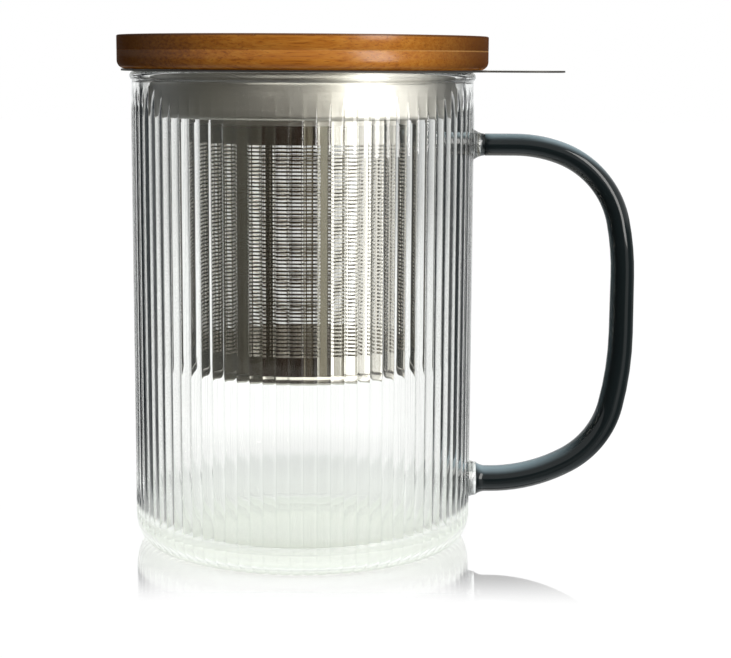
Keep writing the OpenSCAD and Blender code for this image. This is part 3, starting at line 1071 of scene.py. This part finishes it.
class TEAMUG_OT_basket_base(bpy.types.Operator):
    """Build the pressed and pierced base of the basket"""

    bl_idname = "tea_mug.basket_base"
    bl_label = "Basket base"

    def execute(self, context):
        infuser = context.scene.tea_mug.infuser
        bore = BASKET_R + SEAT
        underside, upside = BASKET_LOW + SEAT, BASKET_LOW + infuser.sheet
        bend, chamfer = 0.9 * MM, 0.12 * MM
        columns = 144
        plain = [(share * CAP_R, underside) for share in (0.02, 0.15)]
        radii = hole_lines(0.18 * CAP_R, 0.88 * CAP_R, 17, 0.5)
        outer = plain + [(radius, underside) for radius in radii]
        outer += arc((CAP_R - bend, BASKET_LOW + bend), bend, -90, 0, 6)
        outer += [(CAP_R, CAP_TOP - chamfer), (CAP_R - chamfer, CAP_TOP)]
        angles = blend_steps(0, TURN, columns)[:-1]

        def place(k, angle, inner):
            radius, z = outer[k]
            if inner:
                radius, z = min(radius, bore), max(z, upside)
                if k == len(outer) - 1:
                    radius = bore
            return radius * math.cos(angle), radius * math.sin(angle), z

        def holes(i, j):
            ring = i - len(plain)
            step = 2 if ring > 12 else 4
            return 0 <= ring < len(radii) and ring % 2 == 0 and j % step == 0

        verts, faces = pierced(range(len(outer)), angles, place, holes)
        close_hub(verts, faces, columns, underside, upside)
        skin = steel("base_steel", infuser, (25, 25, 2600), roughness=0.20)
        add_piece("basket_pressed_base", (verts, faces), skin, "infuser", "basket_base", "steel", crisp=50)
        return {"FINISHED"}


# ---- lid ----


def plug_radius(lid, infuser):
    """Radius of the plug, which leaves a gap to the collar's bore."""
    return COLLAR_R - infuser.collar_sheet - lid.plug_inset


class TEAMUG_OT_lid(bpy.types.Operator):
    """Build the two wooden boards of the lid"""

    bl_idname = "tea_mug.lid"
    bl_label = "Lid"

    def execute(self, context):
        lid = context.scene.tea_mug.lid
        nick, chamfer = 0.06 * MM, 0.5 * MM
        top = [(0, LID_SEAM), (0.5 * LID_R, LID_SEAM), (LID_R - nick, LID_SEAM), (LID_R, LID_SEAM + nick)]
        top += arc((LID_R - lid.crisp_edge, LID_TOP - lid.crisp_edge), lid.crisp_edge, 0, 90, 6)
        top += [(0.5 * LID_R, LID_TOP), (0, LID_TOP)]
        plug = plug_radius(lid, context.scene.tea_mug.infuser)
        groove = plug - lid.groove
        low = [(0, PLUG_LOW), (0.5 * plug, PLUG_LOW), (plug - chamfer, PLUG_LOW), (plug, PLUG_LOW + chamfer)]
        low += [(plug, SEAL_LOW), (groove, SEAL_LOW), (groove, SEAL_TOP), (plug, SEAL_TOP)]
        low += [(plug, LID_LOW), (LID_R - 2 * lid.edge, LID_LOW)]
        low += arc((LID_R - lid.edge, LID_LOW + lid.edge), lid.edge, -90, 0, 10)
        low += [(LID_R, LID_SEAM - nick), (LID_R - nick, LID_SEAM), (0.5 * LID_R, LID_SEAM), (0, LID_SEAM)]
        skin = wood(lid)
        boards = (
            ("lid_top_board", top, "lid_upper_board"),
            ("lid_lower_board_and_plug", low, "lid_lower_board"),
        )
        for name, section, node in boards:
            add_piece(name, lathe(section, 360), skin, "lid", node, "lid_wood", crisp=50)
        return {"FINISHED"}


class TEAMUG_OT_seal(bpy.types.Operator):
    """Build the silicone seal ring"""

    bl_idname = "tea_mug.seal"
    bl_label = "Seal ring"

    def execute(self, context):
        lid = context.scene.tea_mug.lid
        inner = plug_radius(lid, context.scene.tea_mug.infuser) - lid.groove + SEAT
        middle = (SEAL_LOW + SEAL_TOP) / 2
        lobe = (SEAL_TOP - SEAL_LOW) / 4
        section = [(inner, SEAL_TOP), (inner, SEAL_LOW)]
        section += arc((SEAL_R - lobe, middle - lobe), lobe, -90, 60, 8)
        section += arc((SEAL_R - lobe, middle + lobe), lobe, -60, 90, 8)
        shape = lathe(section, 240, closed=True)
        add_piece("lid_seal", shape, silicone(lid), "lid", "lid_seal_ring", "silicone", crisp=50)
        return {"FINISHED"}


# ---- studio ----


# Colours of a dark flag beside the background and of the room's shaded part behind it
FLAG = (0.010, 0.014, 0.017)
SHADED_ROOM = (0.42, 0.43, 0.43)

# The surround is written as colours and the angles in degrees where they lie, or from where to where. They
# blend in between. This is what clear glass shows on both sides of +Y, the far side, and of -Y:
# a white background, a dark flag on each side of it, and a pale room round the rest
SEEN_THROUGH = (
    ((0.82, 0.83, 0.83), 0),
    ((0.83, 0.84, 0.84), 5),
    ((0.92, 0.93, 0.93), 12),
    ((1.04, 1.05, 1.05), 20, 32),
    (FLAG, 36, 62),
    (SHADED_ROOM, 70),
    ((1.20, 1.21, 1.21), 80),
    ((1.00, 1.01, 1.01), 90),
)

# What light sees from +Y to -Y after it was mirrored inside the glass
SEEN_INSIDE = (
    ((1.05, 1.06, 1.06), 0, 32),
    (FLAG, 36, 62),
    (SHADED_ROOM, 70),
    ((0.36, 0.36, 0.35), 142),
    ((0.12, 0.11, 0.10), 158),
    ((0.06, 0.055, 0.05), 180),
)

# What smooth outer surfaces mirror, round the whole compass from +Y towards +X
MIRRORED = (
    ((0.050, 0.048, 0.042), -180),
    ((0.060, 0.060, 0.055), -120),
    ((0.34, 0.36, 0.37), -88),
    ((0.40, 0.42, 0.43), -66),
    ((0.02, 0.02, 0.02), -60, -34),
    ((0.90, 0.92, 0.92), -28, 20),
    ((0.34, 0.35, 0.35), 30, 74),
    ((0.06, 0.06, 0.05), 90, 120),
    ((1.05, 1.05, 1.03), 126, 150),
    ((0.07, 0.065, 0.055), 156),
    ((0.050, 0.048, 0.042), 180),
)

# What the steel inside the glass mirrors in the same directions
STEEL_MIRRORED = (
    ((0.010, 0.004, 0.001), -180),
    ((0.024, 0.008, 0.002), -166),
    ((0.034, 0.029, 0.020), -148),
    ((0.100, 0.095, 0.074), -117),
    ((0.055, 0.055, 0.044), -92),
    ((0.020, 0.022, 0.022), -30),
    ((0.80, 0.80, 0.80), -16, 4),
    ((0.020, 0.022, 0.022), 16),
    ((0.025, 0.025, 0.022), 66),
    ((0.80, 0.80, 0.77), 80),
    ((1.40, 1.40, 1.37), 94, 119),
    ((3.2, 3.2, 3.15), 124, 140),
    ((1.05, 1.05, 1.0), 143),
    ((0.52, 0.51, 0.42), 150),
    ((0.34, 0.31, 0.23), 161),
    ((0.075, 0.055, 0.034), 168),
    ((0.018, 0.009, 0.004), 174),
    ((0.010, 0.004, 0.001), 180),
)

# The same above the horizon, which only the satin steel's wide gloss reaches
STEEL_ABOVE = (
    ((2.4, 2.38, 2.22), -180, -152),
    ((0.08, 0.08, 0.07), -142, -80),
    ((1.0, 1.0, 1.0), -70, 68),
    ((0.03, 0.03, 0.03), 78, 112),
    ((2.4, 2.38, 2.22), 122, 180),
)

WHITE = (1.0, 1.0, 1.0)

# How much brighter the glass shows what is distant
DISTANT_GAIN = (1.75, 1.75, 1.75)

# What the world shows high up: through the glass, and to surfaces outside it
HIGH_THROUGH = (0.95, 0.97, 0.96)
SKY = (1.3, 1.4, 1.45)


def surround_stops(surround, start, span):
    """A ramp's stops for a surround that begins at a start angle and fills a span."""
    return [((angle - start) / span, shade) for shade, *angles in surround for angle in angles]


def around(graph, azimuth, surround):
    """Colour of a compass direction, for a surround that fills the whole circle."""
    return graph.ramp(azimuth / TURN + 0.5, surround_stops(surround, -180, 360))


def shown(graph, x, y, distant, rising=0, open_rising=0, above=0):
    """What glass and metal show in a compass direction.

    Light that rises after one mirroring comes from the floor's image: rising says so for light that
    crossed glass, and open_rising for light that did not. above says that satin steel looks over the
    horizon. What is distant shows brighter through the glass.
    """
    azimuth = x.maths("ARCTAN2", y)
    turned = abs(azimuth) / math.pi
    folded = 1 - abs(2 * turned - 1)
    faces, bounces = graph.depth("Transmission"), graph.depth("Glossy")
    outside = 1 - faces.clamped()
    once = 1 - abs(bounces - 1).clamped()
    direct = 1 - once * rising
    # Light that the steel mirrored crossed the wall on its way in and out, so four faces of glass
    steel_light = bounces.clamped() * (1 - abs(faces - 4).clamped())
    through = graph.ramp(folded, surround_stops(SEEN_THROUGH, 0, 90))
    through = graph.mix(distant, through, DISTANT_GAIN, "MULTIPLY")
    inside = graph.ramp(turned, surround_stops(SEEN_INSIDE, 0, 180))
    seen = graph.mix(bounces.clamped() * direct, through, inside)
    seen = graph.mix(outside, seen, around(graph, azimuth, MIRRORED))
    seen = graph.mix(steel_light * direct, seen, around(graph, azimuth, STEEL_MIRRORED))
    seen = graph.mix(steel_light * once * above, seen, around(graph, azimuth, STEEL_ABOVE))
    return graph.mix(outside * once * open_rising, seen, WHITE)


def from_gloss(graph):
    """1 for rays that glass or metal sends on."""
    return (graph.ray("Transmission") + graph.ray("Glossy")).clamped()


def studio_world(scene, level):
    """White for the camera, the surround for glass and metal, and an even dim level for matte surfaces."""
    world = bpy.data.worlds.new("studio")
    scene.world = world
    world.use_nodes = True
    graph = Graph(world.node_tree)
    x, y, z = graph.axes(graph.node("TexCoord", out="Generated"))
    distant = 1 - ease(graph, z, -0.02, 0.02)
    ahead = ease(graph, y, 0.3, 0.6)
    rising = ease(graph, z + 0.1 * ahead, 0.17, 0.23)
    open_rising = ease(graph, z, 0.05, 0.11)
    above = ease(graph, z, 0.11, 0.17)
    surface = shown(graph, x, y, distant, rising, open_rising, above)
    faces = graph.depth("Transmission")
    few_faces = faces.clamped() * (1 - (faces - 3).clamped())
    surface = graph.mix(few_faces * ease(graph, z, 0.32, 0.40), surface, HIGH_THROUGH)
    surface = graph.mix(ease(graph, z, 0.55, 0.85) * (1 - faces.clamped()), surface, SKY)
    light = graph.mix(from_gloss(graph), (level, level, level), surface)
    light = graph.mix(graph.ray("Camera"), light, WHITE)
    background = graph.node("Background", sockets={"Color": light, "Strength": 1.0})
    graph.node("OutputWorld", sockets={"Surface": background})


# Light that reaches the floor left the glass at most about this far beside the mug's axis
START = 30 * MM


def floor_surface():
    """White floor that keeps a soft shadow and mirrors what stands on it, fading away from it."""
    made, graph = material("studio_floor")
    x, y, _ = graph.axes(graph.place())
    away = abs(y).at_least(abs(x) - 48 * MM)
    near = 1 - ease(graph, away, 28 * MM, 63 * MM)
    radius = from_axis(x, y)
    beside = x - x.at_least(-START).at_most(START)
    under = 1 - ease(graph, radius, 45 * MM, 80 * MM)
    distant = ease(graph, radius, 85 * MM, 150 * MM)
    camera = graph.ray("Camera")
    tone = graph.mix(under, shown(graph, beside, y, distant), (0.98, 1.0, 0.97))
    tone = graph.mix(camera, tone, WHITE)
    matte = graph.node("BsdfDiffuse", sockets={"Color": (0.9, 0.9, 0.9)})
    white = graph.node("Emission", sockets={"Color": tone, "Strength": 1.08})
    ground = graph.blend_shaders(from_gloss(graph).at_least(0.93 * camera), matte, white)
    mirror = graph.node("BsdfGlossy", sockets={"Color": WHITE, "Roughness": 0.02})
    # Less is mirrored for light that was already mirrored inside the glass
    twice = (graph.depth("Transmission") * graph.depth("Glossy")).clamped()
    share = 0.66 * near * camera + (0.7 - 0.5 * twice) * graph.ray("Glossy")
    graph.finish(graph.blend_shaders(share, ground, mirror))
    return made


def area_lamp(name, azimuth, elevation, distance, size, power, shade):
    """A soft box that faces the mug from a compass direction, in degrees from +Y towards +X.

    It lights what stands in the glass, but isn't seen through the glass itself.
    """
    lamp = bpy.data.lights.new(name, "AREA")
    lamp.shape = "RECTANGLE"
    lamp.size, lamp.size_y = size
    lamp.energy = power
    lamp.color = shade
    box = bpy.data.objects.new(name, lamp)
    box.visible_transmission = False
    az, el = math.radians(azimuth), math.radians(elevation)
    box.location = (
        distance * math.cos(el) * math.sin(az),
        distance * math.cos(el) * math.cos(az),
        RIM_Z / 2 + distance * math.sin(el),
    )
    box.rotation_euler = (math.pi / 2 - el, 0, math.pi - az)
    bpy.context.scene.collection.objects.link(box)
    return box


def keep_off(lamp, surface):
    """Keeps a lamp's light and its mirror image off one surface."""
    receivers = bpy.data.collections.new(f"{lamp.name}_receivers")
    receivers.objects.link(surface)
    receivers.collection_objects[0].light_linking.link_state = "EXCLUDE"
    lamp.light_linking.receiver_collection = receivers


class TEAMUG_OT_stage(bpy.types.Operator):
    """Build the floor, the light and the camera"""

    bl_idname = "tea_mug.stage"
    bl_label = "Stage"

    def execute(self, context):
        stage = context.scene.tea_mug.stage
        scene = context.scene
        studio_world(scene, stage.ambient)
        reach, drop = 3.0, 0.05 * MM
        mesh = bpy.data.meshes.new("floor")
        corners = [(reach * x, reach * y, -drop) for x, y in ((-1, -1), (1, -1), (1, 1), (-1, 1))]
        mesh.from_pydata(corners, [], [(0, 1, 2, 3)])
        mesh.materials.append(floor_surface())
        floor = bpy.data.objects.new("floor", mesh)
        scene.collection.objects.link(floor)
        key = area_lamp(
            "key_soft_box",
            azimuth=133,
            elevation=21,
            distance=0.9,
            size=(0.32, 0.7),
            power=stage.key_power,
            shade=(1.0, 0.98, 0.95),
        )
        keep_off(key, floor)
        area_lamp(
            "overhead_soft_box",
            azimuth=90,
            elevation=80,
            distance=1.0,
            size=(0.8, 0.8),
            power=stage.fill_power,
            shade=WHITE,
        )
        lens = bpy.data.cameras.new("camera")
        lens.sensor_width = 36
        lens.lens = stage.focal
        lens.clip_start, lens.clip_end = 0.01, 20
        camera = bpy.data.objects.new("camera", lens)
        tilt = Matrix.Rotation(math.pi / 2 - stage.pitch, 4, "X") @ Matrix.Rotation(stage.roll, 4, "Z")
        camera.matrix_world = Matrix.Translation((stage.camera_x, -stage.camera_back, stage.camera_z)) @ tilt
        scene.collection.objects.link(camera)
        scene.camera = camera
        scene.view_settings.view_transform = "Standard"
        scene.cycles.max_bounces = 24
        scene.cycles.transmission_bounces = 20
        scene.cycles.transparent_max_bounces = 24
        scene.cycles.glossy_bounces = 8
        scene.cycles.diffuse_bounces = 3
        return {"FINISHED"}


# ---- add-on ----

OPERATORS = (
    TEAMUG_OT_glass_body,
    TEAMUG_OT_handle,
    TEAMUG_OT_welds,
    TEAMUG_OT_flange,
    TEAMUG_OT_collar,
    TEAMUG_OT_basket,
    TEAMUG_OT_basket_base,
    TEAMUG_OT_lid,
    TEAMUG_OT_seal,
    TEAMUG_OT_stage,
)


class TEAMUG_PT_panel(bpy.types.Panel):
    """Lists the pieces and their settings"""

    bl_label = "Tea Mug"
    bl_idname = "TEAMUG_PT_panel"
    bl_space_type = "VIEW_3D"
    bl_region_type = "UI"
    bl_category = "Tea Mug"

    def draw(self, context):
        column = self.layout.column()
        for operator in OPERATORS:
            column.operator(operator.bl_idname)
        settings = context.scene.tea_mug
        for group in (settings.glass, settings.infuser, settings.lid, settings.stage):
            box = self.layout.box()
            for name in group.__annotations__:
                box.prop(group, name)


CLASSES = (
    GlassSettings,
    InfuserSettings,
    LidSettings,
    StageSettings,
    MugSettings,
    *OPERATORS,
    TEAMUG_PT_panel,
)


def register():
    for item in CLASSES:
        bpy.utils.register_class(item)
    bpy.types.Scene.tea_mug = bpy.props.PointerProperty(type=MugSettings)


def unregister():
    del bpy.types.Scene.tea_mug
    for item in reversed(CLASSES):
        bpy.utils.unregister_class(item)


def main():
    """Registers the classes and builds every piece in order."""
    register()
    bpy.ops.tea_mug.stage()
    bpy.ops.tea_mug.glass_body()
    bpy.ops.tea_mug.handle()
    bpy.ops.tea_mug.welds()
    bpy.ops.tea_mug.flange()
    bpy.ops.tea_mug.collar()
    bpy.ops.tea_mug.basket()
    bpy.ops.tea_mug.basket_base()
    bpy.ops.tea_mug.lid()
    bpy.ops.tea_mug.seal()
    bpy.context.view_layer.update()


if __name__ == "__main__":
    main()
